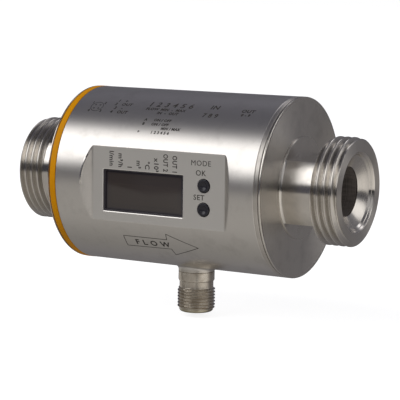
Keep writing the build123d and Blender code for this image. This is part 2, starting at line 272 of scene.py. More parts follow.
def turned_about(net, b, axis, amount):
    """Turning lines run round the axis, so the reflection is blurred across them."""
    tan_node = net.node("ShaderNodeTangent", direction_type="RADIAL", axis=axis)
    net.l.new(tan_node.outputs[0], b.inputs["Tangent"])
    b.inputs["Anisotropic"].default_value = amount
    b.inputs["Anisotropic Rotation"].default_value = 0.25


def mat_turned(name, base_srgb, rough, groove=1.0):
    """Turned bright steel: fine rings on faces square to the axis, fine lines along cylinders."""
    mat, net, b, pos = material(name, metallic=1.0)
    turned_about(net, b, "X", 0.9)
    x, y, z = net.xyz(pos)
    geo = net.node("ShaderNodeNewGeometry")
    nx, ny, nz = net.xyz(geo.outputs["True Normal"])
    rad = net.m("SQRT", net.m("ADD", net.m("MULTIPLY", y, y), net.m("MULTIPLY", z, z)))
    facing = net.step(net.m("ABSOLUTE", nx), 0.6, 0.8)
    ring_noise = net.noise(net.m("MULTIPLY", rad, 7.0), 1.0, 2.5, 0.6, dims="1D")
    line_noise = net.noise(net.m("MULTIPLY", x, 8.0), 1.0, 2.5, 0.6, dims="1D")
    tool = net.mix(facing, line_noise, ring_noise, kind="FLOAT")
    grain = net.noise(pos, 6.0, 2.0, 0.5)
    smudge = net.lin(net.noise(pos, 0.22, 4, 0.6), 0.48, 0.75)
    c0 = lin_rgb(*base_srgb)
    c1 = tuple(v * 0.86 for v in c0)
    base = net.mix(smudge, (*c0, 1), (*c1, 1))
    net.l.new(base, b.inputs["Base Color"])
    r = net.m("ADD", rough, net.m("MULTIPLY", smudge, 0.05))
    r = net.m("ADD", r, net.m("MULTIPLY", net.m("SUBTRACT", tool, 0.5), 0.08))
    r = net.m("ADD", r, net.m("MULTIPLY", net.m("SUBTRACT", grain, 0.5), 0.04))
    # the broad flange face is turned with a coarser feed than the rest
    wide = net.m("MULTIPLY", net.step(rad, 15.9, 16.4), net.step(rad, 27.3, 26.9))
    wide = net.m("ADD", wide, net.m("MULTIPLY", net.step(net.m("ABSOLUTE", x), 56.2, 56.4), 1.3))
    r = net.m("ADD", r, net.m("MULTIPLY", facing, net.m("ADD", 0.05, net.m("MULTIPLY", wide, 0.09))))
    r = net.m("ADD", r, net.m("MULTIPLY", net.m("MULTIPLY", net.step(rad, 26.9, 27.4), net.step(net.m("ABSOLUTE", x), 36.98, 36.88)), 0.22))
    # the threads are cut bright
    cut = net.m("MULTIPLY", net.step(net.m("ABSOLUTE", x), 47.7, 47.9), net.step(rad, 13.8, 14.3))
    cut = net.m("MULTIPLY", cut, net.m("SUBTRACT", 1.0, facing))
    r = net.m("SUBTRACT", r, net.m("MULTIPLY", cut, 0.05))
    net.l.new(net.m("SUBTRACT", 0.9, net.m("MULTIPLY", cut, 0.35)), b.inputs["Anisotropic"])
    net.l.new(r, b.inputs["Roughness"])
    h = net.m("ADD", net.m("MULTIPLY", tool, 0.8), net.m("MULTIPLY", grain, 0.25))
    net.l.new(net.bump(h, 0.0035 * MM * groove, 1.0), b.inputs["Normal"])
    return mat


def mat_plastic(name, srgb, srgb2, rough, grain_scale=3.0, grain=0.01, coat=0.0, ior=1.46, var=0.08, spec=0.5):
    """Moulded plastic or rubber: slow mottling, fine moulded grain."""
    mat, net, b, pos = material(name, ior=ior, coat=coat, spec=spec)
    slow = net.lin(net.noise(pos, var, 4, 0.6), 0.35, 0.7)
    base = net.mix(slow, (*lin_rgb(*srgb), 1), (*lin_rgb(*srgb2), 1))
    net.l.new(base, b.inputs["Base Color"])
    g = net.noise(pos, grain_scale, 3, 0.55)
    net.l.new(net.m("ADD", rough, net.m("MULTIPLY", net.m("SUBTRACT", g, 0.5), 0.18)), b.inputs["Roughness"])
    net.l.new(net.bump(g, grain * MM, 1.0), b.inputs["Normal"])
    return mat


def mat_marker():
    """Amber ring: satin moulded plastic with fine lines round it from the trimming tool."""
    mat, net, b, pos = material("marker_amber_finish", ior=1.47, spec=0.10)
    x, y, z = net.xyz(pos)
    slow = net.lin(net.noise(pos, 0.10, 3, 0.6), 0.35, 0.7)
    base = net.mix(slow, (*lin_rgb(194, 130, 0), 1), (*lin_rgb(182, 121, 0), 1))
    g = net.noise(pos, 3.4, 3, 0.55)
    lines = net.noise(net.m("MULTIPLY", x, 6.0), 1.0, 2.0, 0.5, dims="1D")
    net.l.new(base, b.inputs["Base Color"])
    net.l.new(net.m("ADD", 0.50, net.m("MULTIPLY", net.m("SUBTRACT", g, 0.5), 0.2)), b.inputs["Roughness"])
    net.l.new(net.bump(net.m("ADD", g, net.m("MULTIPLY", lines, 0.6)), 0.006 * MM, 1.0), b.inputs["Normal"])
    return mat


def mat_liner():
    """Machined plastic bore: brown-black, with fine rings from the boring tool and rub marks along it."""
    mat, net, b, pos = material("liner_plastic_finish", ior=1.5)
    x, y, z = net.xyz(pos)
    rings = net.noise(net.m("MULTIPLY", x, 5.0), 1.0, 3.0, 0.65, dims="1D")
    rub = net.noise(net.comb(net.m("MULTIPLY", x, 0.25), net.m("MULTIPLY", y, 1.6), net.m("MULTIPLY", z, 1.6)), 1.0, 3.0, 0.6)
    f = net.lin(net.m("ADD", net.m("MULTIPLY", rings, 0.6), net.m("MULTIPLY", rub, 0.4)), 0.38, 0.64)
    net.l.new(net.mix(f, (*lin_rgb(92, 86, 82), 1), (*lin_rgb(138, 130, 124), 1)), b.inputs["Base Color"])
    net.l.new(net.m("ADD", 0.30, net.m("MULTIPLY", rub, 0.16)), b.inputs["Roughness"])
    net.l.new(net.bump(net.m("ADD", rings, net.m("MULTIPLY", rub, 0.4)), 0.010 * MM, 1.0), b.inputs["Normal"])
    return mat


def mat_window():
    """Smoked pane: brownish display area inside a darker border; the border is painted shade of the display's recess
    behind the glass.
    """
    mat, net, b, pos = material("smoked_glass_finish", ior=1.5, coat=0.0)
    x, y, z = net.xyz(pos)
    cx, cz = (WIN_X0 + WIN_X1) / 2, (WIN_Z0 + WIN_Z1) / 2
    hx, hz = (WIN_X1 - WIN_X0) / 2 - 1.05, (WIN_Z1 - WIN_Z0) / 2 - 0.95
    dx = net.m("SUBTRACT", net.m("ABSOLUTE", net.m("SUBTRACT", x, cx)), hx)
    dz = net.m("SUBTRACT", net.m("ABSOLUTE", net.m("SUBTRACT", z, cz)), hz)
    d = net.m("MAXIMUM", dx, dz)
    # painted shade: the border round the display field is darker
    inner = net.step(d, 0.12, -0.35)
    # the switched-off display shows through the smoke as a slightly lighter field with faint segment rows
    rows = net.m("MULTIPLY", net.step(net.m("ABSOLUTE", net.m("SUBTRACT", z, -2.9)), 3.4, 3.0),
                 net.step(net.m("ABSOLUTE", net.m("SUBTRACT", x, cx)), 11.9, 11.5))
    col = net.mix(inner, (*lin_rgb(43, 39, 43), 1), (*lin_rgb(55, 49, 47), 1))
    col = net.mix(net.m("MULTIPLY", rows, 0.16), col, (*lin_rgb(66, 57, 51), 1))
    net.l.new(col, b.inputs["Base Color"])
    sm = net.noise(pos, 0.35, 4, 0.6)
    net.l.new(net.m("ADD", 0.07, net.m("MULTIPLY", sm, 0.07)), b.inputs["Roughness"])
    net.l.new(net.bump(net.noise(pos, 1.2, 3, 0.5), 0.0012 * MM, 1.0), b.inputs["Normal"])
    return mat


def mat_connector(name="connector_nickel_finish"):
    """Nickel plating gone slightly brown, with fine turning lines round the vertical axis."""
    mat, net, b, pos = material(name, metallic=1.0)
    x, y, z = net.xyz(pos)
    lines = net.noise(net.m("MULTIPLY", z, 9.0), 1.0, 2.5, 0.6, dims="1D")
    grain = net.noise(pos, 5.0, 3, 0.6)
    blot = net.lin(net.noise(pos, 0.5, 4, 0.65), 0.4, 0.72)
    base = net.mix(blot, (*lin_rgb(196, 189, 178), 1), (*lin_rgb(172, 162, 148), 1))
    # the open end is a warmer, olive tone
    tip = net.step(z, -41.0, -41.7)
    base = net.mix(net.m("MULTIPLY", tip, 0.55), base, (*lin_rgb(128, 122, 84), 1))
    net.l.new(base, b.inputs["Base Color"])
    turned_about(net, b, "Z", 0.4)
    r = net.m("ADD", 0.27, net.m("MULTIPLY", blot, 0.06))
    r = net.m("ADD", r, net.m("MULTIPLY", net.m("SUBTRACT", lines, 0.5), 0.08))
    net.l.new(r, b.inputs["Roughness"])
    h = net.m("ADD", lines, net.m("MULTIPLY", grain, 0.5))
    net.l.new(net.bump(h, 0.0035 * MM, 1.0), b.inputs["Normal"])
    return mat


def mat_metal(name, srgb, srgb2, rough, scale=2.0, bump=0.004, axis=None, pitch=8.0):
    """Plain small metal parts: tone variation, fine tool lines along one axis where it is given."""
    mat, net, b, pos = material(name, metallic=1.0)
    p = net.xyz(pos)
    slow = net.lin(net.noise(pos, 0.4, 4, 0.6), 0.38, 0.7)
    net.l.new(net.mix(slow, (*lin_rgb(*srgb), 1), (*lin_rgb(*srgb2), 1)), b.inputs["Base Color"])
    g = net.noise(pos, scale, 3, 0.6)
    h = g
    if axis is not None:
        ln = net.noise(net.m("MULTIPLY", p[axis], pitch), 1.0, 2.0, 0.5, dims="1D")
        h = net.m("ADD", net.m("MULTIPLY", g, 0.4), ln)
    net.l.new(net.m("ADD", rough, net.m("MULTIPLY", net.m("SUBTRACT", g, 0.5), 0.15)), b.inputs["Roughness"])
    net.l.new(net.bump(h, bump * MM, 1.0), b.inputs["Normal"])
    return mat


def mat_winding():
    """Enamelled copper: rows of turns stacked along the coil's axis."""
    mat, net, b, pos = material("copper_wire_finish", metallic=1.0, coat=0.6, coat_rough=0.15)
    x, y, z = net.xyz(pos)
    wv = net.m("SINE", net.m("MULTIPLY", z, 2 * pi / 0.22))
    slow = net.lin(net.noise(pos, 0.5, 3, 0.6), 0.35, 0.7)
    net.l.new(net.mix(slow, (*lin_rgb(196, 104, 58), 1), (*lin_rgb(160, 76, 40), 1)), b.inputs["Base Color"])
    net.l.new(net.m("ADD", 0.28, net.m("MULTIPLY", slow, 0.1)), b.inputs["Roughness"])
    net.l.new(net.bump(wv, 0.03 * MM, 1.0), b.inputs["Normal"])
    return mat


def mat_board():
    """Solder resist over tracks: thin lighter traces on a fine grid and gold pads here and there."""
    mat, net, b, pos = material("board_green_finish", ior=1.5, coat=0.25, coat_rough=0.2)
    x, y, z = net.xyz(pos)
    br = net.node("ShaderNodeTexBrick")
    net.l.new(net.comb(x, z, y), br.inputs["Vector"])
    br.inputs["Scale"].default_value = 0.55
    br.inputs["Mortar Size"].default_value = 0.035
    br.inputs["Color1"].default_value = (*lin_rgb(18, 84, 44), 1)
    br.inputs["Color2"].default_value = (*lin_rgb(24, 94, 50), 1)
    br.inputs["Mortar"].default_value = (*lin_rgb(52, 128, 72), 1)
    vo = net.node("ShaderNodeTexVoronoi")
    net.l.new(pos, vo.inputs["Vector"])
    vo.inputs["Scale"].default_value = 0.62
    pad = net.step(vo.outputs["Distance"], 0.16, 0.12)
    col = net.mix(net.m("MULTIPLY", pad, 0.85), br.outputs["Color"], (*lin_rgb(196, 160, 84), 1))
    net.l.new(col, b.inputs["Base Color"])
    net.l.new(net.m("ADD", 0.32, net.m("MULTIPLY", net.noise(pos, 2.0, 3, 0.5), 0.15)), b.inputs["Roughness"])
    net.l.new(net.bump(net.m("ADD", br.outputs["Fac"], pad), 0.02 * MM, 1.0), b.inputs["Normal"])
    return mat


def mat_print():
    """Laser-annealed marking: dark brown-grey, slightly uneven."""
    mat, net, b, pos = material("etched_mark_finish", spec=0.25)
    n = net.noise(pos, 4.0, 3, 0.6)
    col = net.mix(net.lin(n, 0.3, 0.7), (*lin_rgb(44, 41, 38), 1), (*lin_rgb(60, 56, 52), 1))
    net.l.new(col, b.inputs["Base Color"])
    net.l.new(net.m("ADD", 0.48, net.m("MULTIPLY", n, 0.15)), b.inputs["Roughness"])
    net.l.new(net.bump(n, 0.004 * MM, 1.0), b.inputs["Normal"])
    return mat


MATS["housing_steel"] = mat_housing()
MATS["turned_steel"] = mat_turned("turned_steel_finish", (199, 194, 187), 0.19)
MATS["marker_amber"] = mat_marker()
MATS["liner_plastic"] = mat_liner()
MATS["seal_rubber"] = mat_plastic("seal_rubber_finish", (26, 25, 28), (20, 20, 22), 0.45, 4.0, 0.01)
MATS["electrode_steel"] = mat_metal("electrode_steel_finish", (206, 206, 204), (188, 187, 184), 0.2, axis=1)
MATS["core_iron"] = mat_metal("core_iron_finish", (96, 96, 99), (80, 80, 84), 0.42, 3.0, 0.008)
MATS["bobbin_plastic"] = mat_plastic("bobbin_plastic_finish", (34, 34, 37), (27, 27, 30), 0.5, 3.5, 0.012)
MATS["copper_wire"] = mat_winding()
MATS["board_green"] = mat_board()
MATS["chip_black"] = mat_plastic("chip_black_finish", (38, 38, 40), (30, 30, 32), 0.6, 6.0, 0.012)
MATS["spacer_brass"] = mat_metal("spacer_brass_finish", (222, 190, 120), (200, 166, 96), 0.24, axis=1)
MATS["capacitor_can"] = mat_metal("capacitor_can_finish", (214, 214, 218), (196, 196, 200), 0.28, axis=1)
MATS["led_clear"] = mat_plastic("led_clear_finish", (226, 224, 206), (212, 208, 186), 0.12, 1.5, 0.003)
MATS["smoked_glass"] = mat_window()
MATS["gasket_rubber"] = mat_plastic("gasket_rubber_finish", (66, 63, 67), (56, 53, 57), 0.68, 4.0, 0.01, spec=0.15)
MATS["button_black"] = mat_plastic("button_black_finish", (38, 37, 43), (32, 31, 37), 0.21, 3.2, 0.004, var=0.2, spec=0.38)
MATS["connector_nickel"] = mat_connector()
MATS["insert_black"] = mat_plastic("insert_black_finish", (32, 32, 34), (26, 26, 28), 0.42, 4.0, 0.008)
MATS["pin_gold"] = mat_metal("pin_gold_finish", (226, 186, 104), (206, 164, 84), 0.2, axis=2)
MATS["flex_amber"] = mat_plastic("flex_amber_finish", (178, 112, 40), (160, 96, 30), 0.3, 2.0, 0.006)
MATS["lead_insulation"] = mat_plastic("lead_insulation_finish", (140, 34, 28), (120, 26, 22), 0.45, 3.0, 0.01)
MATS["print"] = mat_print()
MATS["housing_edge"] = mat_metal("housing_edge_finish", (203, 199, 194), (192, 188, 183), 0.12, 4.0, 0.004)
# painted highlight: near-white colour that draws a light line on the window's lip
MATS["cut_edge"] = mat_metal("cut_edge_finish", (244, 241, 236), (234, 231, 226), 0.5, 4.0, 0.004)

SLOT_OF = {s["node"]: s["material_slot"] for s in frame["record"]["subparts"]}
for name, ob in NODES.items():
    ob.data.materials.clear()
    ob.data.materials.append(MATS[SLOT_OF[name]])


# ------------------------------------------------------------ mesh helpers
def new_object(name, verts, faces, mat, body="meter", slot=None, sharp=24.0, weld=1e-7, replaces=()):
    me = bpy.data.meshes.new(name)
    me.from_pydata([tuple(c * MM for c in v) for v in verts], [], faces)
    bm = bmesh.new()
    bm.from_mesh(me)
    bmesh.ops.remove_doubles(bm, verts=bm.verts, dist=weld)
    bmesh.ops.dissolve_degenerate(bm, edges=bm.edges, dist=weld)
    bmesh.ops.recalc_face_normals(bm, faces=bm.faces)
    for e in bm.edges:
        e.smooth = not (len(e.link_faces) != 2 or e.calc_face_angle(0.0) > radians(sharp))
    for f in bm.faces:
        f.smooth = True
    bm.to_mesh(me)
    bm.free()
    me.materials.append(mat)
    ob = bpy.data.objects.new(name, me)
    scene.collection.objects.link(ob)
    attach(ob, body)
    if replaces:
        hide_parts(*replaces)
    return ob


def grid(rows, close_rows=True):
    """Faces of a closed sheet of rows, each a ring of equal length."""
    verts, faces = [], []
    n = len(rows[0])
    for r in rows:
        verts.extend(r)
    m = len(rows)
    for j in range(m if close_rows else m - 1):
        a, b = j * n, ((j + 1) % m) * n
        for i in range(n):
            k = (i + 1) % n
            faces.append((a + i, a + k, b + k, b + i))
    return verts, faces


def lathe_x(name, profile, n=256, **kw):
    """Closed solid of revolution about X from (x, r) points."""
    rows = [[(x, r * cos(2 * pi * i / n), r * sin(2 * pi * i / n)) for i in range(n)] for x, r in profile]
    v, f = grid(rows)
    return new_object(name, v, f, **kw)


def rounded(profile, radius, seg=4, skip=()):
    """Closed profile with its corners rounded; radius a number or a list, one for each point."""
    out = []
    m = len(profile)
    for i in range(m):
        r = radius[i] if isinstance(radius, (list, tuple)) else radius
        p, a, b = Vector(profile[i]), Vector(profile[i - 1]), Vector(profile[(i + 1) % m])
        u, v = a - p, b - p
        if r <= 0 or u.length < 1e-6 or v.length < 1e-6:
            out.append(tuple(p))
            continue
        ang = u.angle(v)
        if ang > radians(176) or ang < radians(4):
            out.append(tuple(p))
            continue
        d = min(r / tan(ang / 2), 0.45 * u.length, 0.45 * v.length)
        p0, p1 = p + u.normalized() * d, p + v.normalized() * d
        for k in range(seg + 1):
            t = k / seg
            q = (1 - t) ** 2 * p0 + 2 * t * (1 - t) * p + t ** 2 * p1
            out.append(tuple(q))
    return out


# --------------------------------------------------- end fittings with threads
PITCH = 2.309


def vee(u, pitch, half_deg, crest_r, crest_flat, root_r):
    """Depth below the crest line of a V thread with a rounded crest and root, u in turns."""
    x = abs(u - round(u)) * pitch
    h = radians(half_deg)
    x1 = crest_flat / 2
    x2 = x1 + crest_r * cos(h)
    x4 = pitch / 2
    x3 = x4 - root_r * cos(h)
    d1 = crest_r * (1 - sin(h))
    d3 = d1 + (x3 - x2) / tan(h)
    if x <= x1:
        return 0.0
    if x <= x2:
        return crest_r - sqrt(max(0.0, crest_r ** 2 - (x - x1) ** 2))
    if x <= x3:
        return d1 + (x - x2) / tan(h)
    return d3 + root_r * (1 - sin(h)) - (root_r - sqrt(max(0.0, root_r ** 2 - (x4 - x) ** 2)))


def helix_grid(x_lo, x_hi, pitch, per_pitch, n, phase, hand, radius_at):
    """Sheet of points (axial, angle in turns, radius) whose rows follow the helix, so that crests are smooth."""
    k_lo = -per_pitch - 1
    k_hi = int((x_hi - x_lo) / pitch * per_pitch) + per_pitch + 2
    base = phase + pitch * int((x_lo - phase) / pitch - 2)
    rows = []
    for k in range(k_lo, k_hi + 2 * per_pitch + 1):
        row = []
        for i in range(n + 1):
            x = base + k * pitch / per_pitch + hand * pitch * i / n
            x = min(x_hi, max(x_lo, x))
            row.append((x, i / n, radius_at(x, i / n)))
        rows.append(row)
    keep = [r for j, r in enumerate(rows) if any(x_lo < q[0] < x_hi for q in r)]
    first = [(x_lo, i / n, radius_at(x_lo, i / n)) for i in range(n + 1)]
    last = [(x_hi, i / n, radius_at(x_hi, i / n)) for i in range(n + 1)]
    return [first] + keep + [last]


def fitting_mesh(outer, phase, sign, n):
    """Points and faces of a fitting. outer: profile of the flange up to the neck; sign -1 mirrors it about YZ."""
    corner = degrees(asin(FLAT_Z / NECK_R))
    angles = [360.0 * i / n for i in range(n)]
    for c in (corner, 180 - corner, 180 + corner, 360 - corner):
        k = round(c / 360.0 * n) % n
        angles[k] = c

    def flat(a):
        s = abs(sin(radians(a)))
        return FLAT_Z / s if s > 1e-9 else 1e9

    rows = []

    def ring(x, rf):
        rows.append([(sign * x, rf(a) * cos(radians(a)), rf(a) * sin(radians(a))) for a in angles])

    for x, r in outer:
        ring(x, lambda a, r=r: r)
    h = FACE_X + COLLAR_H
    cr = COLLAR_R - 0.1
    ring(h, lambda a: cr)
    ring(h, lambda a: min(cr, flat(a)))
    for k in range(1, 5):
        t = k / 4.0
        rr = NECK_R + (cr - NECK_R) * (1 - sin(t * pi / 2))
        ring(h + 0.6 * t, lambda a, rr=rr: min(rr, flat(a)))
    x1 = THREAD_X0 - 0.1
    for k in range(1, 7):
        ring(h + 0.6 + (x1 - h - 0.6) * k / 6.0, lambda a: min(NECK_R, flat(a)))

    def thread_r(x, t):
        # right-hand thread; on the inlet end it is read along the mirrored axis
        r = THREAD_R - vee((x * sign - phase) / PITCH - t, PITCH, 27.5, 0.22, 0.10, 0.30)
        fade = min(1.0, max(0.0, (x - THREAD_X0 + 0.1) / 0.45))
        r = min(r, NECK_R + 0.12 + 1.5 * sin(fade * pi / 2))
        return min(r, THREAD_R - THREAD_CHAM * max(0.0, (x - (HALF - THREAD_CHAM)) / THREAD_CHAM))

    inner = []
    mouth = [(HALF, MOUTH_R + 0.06), (HALF - 0.05, MOUTH_R - 0.02), (HALF - 0.4, MOUTH_R - 0.29), (HALF - 0.75, MOUTH_R - 0.55),
             (HALF - 0.85, MOUTH_R - 0.75), (HALF - 1.2, MOUTH_R - 0.98), (HALF - 1.5, MOUTH_R - 1.2), (HALF - 1.6, MOUTH_R - 1.45),
             (54.2, 9.8), (53.6, 8.9), (53.05, 8.1), (52.75, BORE_R),
             (TUBE_HALF, BORE_R), (TUBE_HALF, TUBE_END_R), (36.0, TUBE_END_R), (36.0, 10.05), (34.6, 10.05),
             (34.6, TUBE_END_R), (TUBE_STEP, TUBE_END_R), (TUBE_STEP, TUBE_R)]
    back_rows, rows = rows, inner
    ring(HALF, lambda a: 14.1)
    for x, r in mouth:
        ring(x, lambda a, r=r: r)
    ring(outer[0][0], lambda a: outer[0][1])

    # one mesh: flange and neck, thread sheet along the helix, mouth and bore
    verts, faces = [], []

    def sheet(block, closed):
        base = len(verts)
        m = len(block[0])
        for r in block:
            verts.extend(r)
        for j in range(len(block) - 1):
            for i in range(m if closed else m - 1):
                k = (i + 1) % m
                faces.append((base + j * m + i, base + j * m + k, base + (j + 1) * m + k, base + (j + 1) * m + i))

    sheet(back_rows, True)
    turns = [a / 360.0 for a in angles] + [1.0]
    pts = []
    for row in helix_grid(x1, HALF, PITCH, 34, n, phase * sign, sign, thread_r):
        # the columns use the same angles as the neck, so that both meet point to point
        line = []
        for i, (x, t, r) in enumerate(row):
            a = 2 * pi * turns[i]
            line.append((sign * x, r * cos(a), r * sin(a)))
        pts.append(line)
    sheet(pts, False)
    # shoulder between the neck and the thread, and the flat end face
    sheet([back_rows[-1], pts[0][:-1]], True)
    sheet([pts[-1][:-1], inner[0]], True)
    sheet(inner, True)
    return verts, faces


OUTLET = [(30.0, TUBE_R), (30.0, 13.0), (33.0, 13.0), (33.0, SPIGOT_R), (33.4, SPIGOT_R), (33.4, 22.7), (34.7, 22.7), (34.7, SPIGOT_R),
          (SHELL_X1, SPIGOT_R), (SHELL_X1, BODY_R - 0.05), (SHELL_X1 + 0.1, BODY_R + 0.01), (36.46, BODY_R + 0.01), (36.56, BODY_R - 0.08),
          (36.6, BODY_R - 0.5), (36.85, BODY_R - 0.5), (36.87, BODY_R - 0.1), (36.95, BODY_R), (37.2, BODY_R), (37.33, BODY_R - 0.04),
          (FACE_X, BODY_R - 0.15), (FACE_X, 24.0), (FACE_X, 19.0), (FACE_X, COLLAR_R + 0.03), (FACE_X + 0.06, COLLAR_R), (FACE_X + COLLAR_H - 0.1, COLLAR_R)]
INLET = [(30.0, TUBE_R), (30.0, 13.0), (32.2, 13.0), (32.2, SPIGOT_R), (32.5, SPIGOT_R), (32.5, 22.7), (33.8, 22.7), (33.8, SPIGOT_R),
         (-RING_X0, SPIGOT_R), (-RING_X0, BODY_R - 0.6), (37.06, BODY_R - 0.6), (37.08, BODY_R - 0.1), (37.13, BODY_R), (37.3, BODY_R),
         (37.37, BODY_R - 0.03), (FACE_X, BODY_R - 0.1), (FACE_X, 24.0), (FACE_X, 19.0), (FACE_X, COLLAR_R + 0.03), (FACE_X + 0.06, COLLAR_R),
         (FACE_X + COLLAR_H - 0.1, COLLAR_R)]
NFIT = 300
v, f = fitting_mesh(OUTLET, 48.5 + PITCH * 0.25, 1, NFIT)
new_object("outlet_fitting_turned", v, f, MATS["turned_steel"], slot="turned_steel", sharp=22, replaces=("outlet_fitting",))
v, f = fitting_mesh(INLET, -48.7 + PITCH * 0.25, -1, NFIT)
new_object("inlet_fitting_turned", v, f, MATS["turned_steel"], slot="turned_steel", sharp=22, replaces=("inlet_fitting",))

# --------------------------------------------------------------- marker ring
ring_prof = rounded([(RING_X0, SPIGOT_R), (RING_X1, SPIGOT_R), (RING_X1, BODY_R - 0.05), (RING_X1 - 0.12, BODY_R + 0.05),
                     (RING_X0 + 0.12, BODY_R + 0.05), (RING_X0, BODY_R - 0.1)], [0, 0, 0.05, 0.15, 0.15, 0.05], 3)
lathe_x("marker_ring_moulded", ring_prof, 256, mat=MATS["marker_amber"], slot="marker_amber", replaces=("marker_ring",))


# ------------------------------------------------------------------ housing
def refined(node, name, sharp=20.0, bevel=None):
    """The node's own shape as a welded, smooth-shaded mesh with crisp edges."""
    src = NODES[node]
    me = src.data.copy()
    me.name = name
    bm = bmesh.new()
    bm.from_mesh(me)
    bmesh.ops.remove_doubles(bm, verts=bm.verts, dist=2e-7)
    bmesh.ops.dissolve_degenerate(bm, edges=bm.edges, dist=2e-7)
    for e in bm.edges:
        e.smooth = not (len(e.link_faces) != 2 or e.calc_face_angle(0.0) > radians(sharp))
    for f in bm.faces:
        f.smooth = True
    bm.to_mesh(me)
    bm.free()
    ob = bpy.data.objects.new(name, me)
    scene.collection.objects.link(ob)
    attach(ob, frame_body(node))
    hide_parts(node)
    return ob


def frame_body(node):
    for body, members in frame["record"]["behaviour"]["bodies"].items():
        if node in members:
            return body
    return "meter"


housing = refined("housing", "housing_tube")


def radial_normals(ob):
    """Exact normals on the round tube, the flat and its ramps, so that highlights run true up to the rounded edges."""
    me = ob.data
    ramp_n = []
    for sx, x0, a in ((1, FACET_X0, radians(RAMP_DEG[0])), (-1, FACET_X1, radians(RAMP_DEG[1]))):
        ramp_n.append((Vector((sx * sin(a), -cos(a), 0)), Vector((x0, FACET_Y, 0)) * MM))
    front = Vector((0, -1, 0))
    base = [Vector(l.vector) for l in me.corner_normals]
    normals = list(base)
    for p in me.polygons:
        n = p.normal
        for li in p.loop_indices:
            co = me.vertices[me.loops[li].vertex_index].co
            r = hypot(co.y, co.z)
            near = []
            if abs(r - BODY_R * MM) < 0.004 * MM:
                near.append(Vector((0, co.y / r, co.z / r)))
            if abs(co.y - FACET_Y * MM) < 0.002 * MM:
                near.append(front)
            for rn, ro in ramp_n:
                if abs((co - ro).dot(rn)) < 0.002 * MM and co.y < (FACET_Y + 0.01) * MM:
                    near.append(rn)
            near = [q for q in near if q.dot(n) > 0.93]
            if near:
                normals[li] = max(near, key=lambda q: q.dot(n))
    me.normals_split_custom_set([tuple(q) for q in normals])


radial_normals(housing)


def mark_outline(ob):
    """Part of the flat's rounded outline is polished by the deburring wheel; the window's lip faces get a painted
    highlight, a near-white colour.
    """
    me = ob.data
    me.materials.append(MATS["housing_edge"])
    me.materials.append(MATS["cut_edge"])
    ramps = [Vector((sx * sin(radians(a)), -cos(radians(a)), 0)) for sx, a in zip((1, -1), RAMP_DEG)]
    for p in me.polygons:
        c = p.center
        if c.y > -25.3 * MM or abs(c.z) > 12.2 * MM or hypot(c.y, c.z) > (BODY_R - 0.002) * MM:
            continue
        if p.normal.y < -0.9999 or any(p.normal.dot(r) > 0.9999 for r in ramps):
            continue
        if p.normal.dot(Vector((0, c.y, c.z)).normalized()) > 0.9999:
            continue
        if WIN_X0 - 1 < c.x / MM < WIN_X1 + 1 and WIN_Z0 - 1 < c.z / MM < WIN_Z1 + 1:
            if 0.8 < -p.normal.y < 0.97 and p.normal.z < 0.1:
                # painted highlight on the window's lip faces
                p.material_index = 2
            continue
        if hypot(c.x / MM - BUTTON_X, c.z / MM - BUTTON_Z[0]) < 3.2 or hypot(c.x / MM - BUTTON_X, c.z / MM - BUTTON_Z[1]) < 3.2:
            continue
        if c.x < -23.3 * MM and c.z > -0.5 * MM:
            p.material_index = 1


mark_outline(housing)

# ------------------------------------------------------- window and its frame
cx, cz = (WIN_X0 + WIN_X1) / 2, (WIN_Z0 + WIN_Z1) / 2


def round_rect(hx, hz, r, seg=4):
    pts = []
    for qx, qz, a0 in ((1, 1, 0), (-1, 1, 90), (-1, -1, 180), (1, -1, 270)):
        for k in range(seg + 1):
            a = radians(a0 + 90.0 * k / seg)
            pts.append((cx + qx * (hx - r) + r * cos(a), cz + qz * (hz - r) + r * sin(a)))
    return pts


def rect_rows(levels):
    """Rings of a rounded rectangle: (half width, half height, corner radius, y)."""
    return [[(x, y, z) for x, z in round_rect(hx, hz, r)] for hx, hz, r, y in levels]


hw, hh = (WIN_X1 - WIN_X0) / 2, (WIN_Z1 - WIN_Z0) / 2
g = 0.5
rows = rect_rows([(hw - 0.02, hh - 0.02, 0.33, -23.35), (hw - 0.02, hh - 0.02, 0.33, -24.92), (hw - 0.06, hh - 0.06, 0.3, -24.98),
                  (hw - g + 0.12, hh - g + 0.12, 0.26, -24.98), (hw - g, hh - g, 0.24, -24.88), (hw - g, hh - g, 0.24, -23.35)])
v, f = grid(rows)
new_object("window_gasket_frame", v, f, MATS["gasket_rubber"], slot="seal_rubber", replaces=("window_gasket",))
w = 0.02
levels = [(hw - g - w, hh - g - w, 0.22, -23.36), (hw - g - w, hh - g - w, 0.22, -24.42), (hw - g - w - 0.03, hh - g - w - 0.03, 0.2, -24.48),
          (hw - g - w - 0.1, hh - g - w - 0.1, 0.16, -24.5)]
rows = rect_rows(levels)
v, f = grid(rows, close_rows=False)
nring = len(rows[0])
f.append(tuple(range(nring)))
f.append(tuple(range(len(v) - nring, len(v)))[::-1])
new_object("display_window_pane", v, f, MATS["smoked_glass"], slot="smoked_glass", replaces=("display_window",))

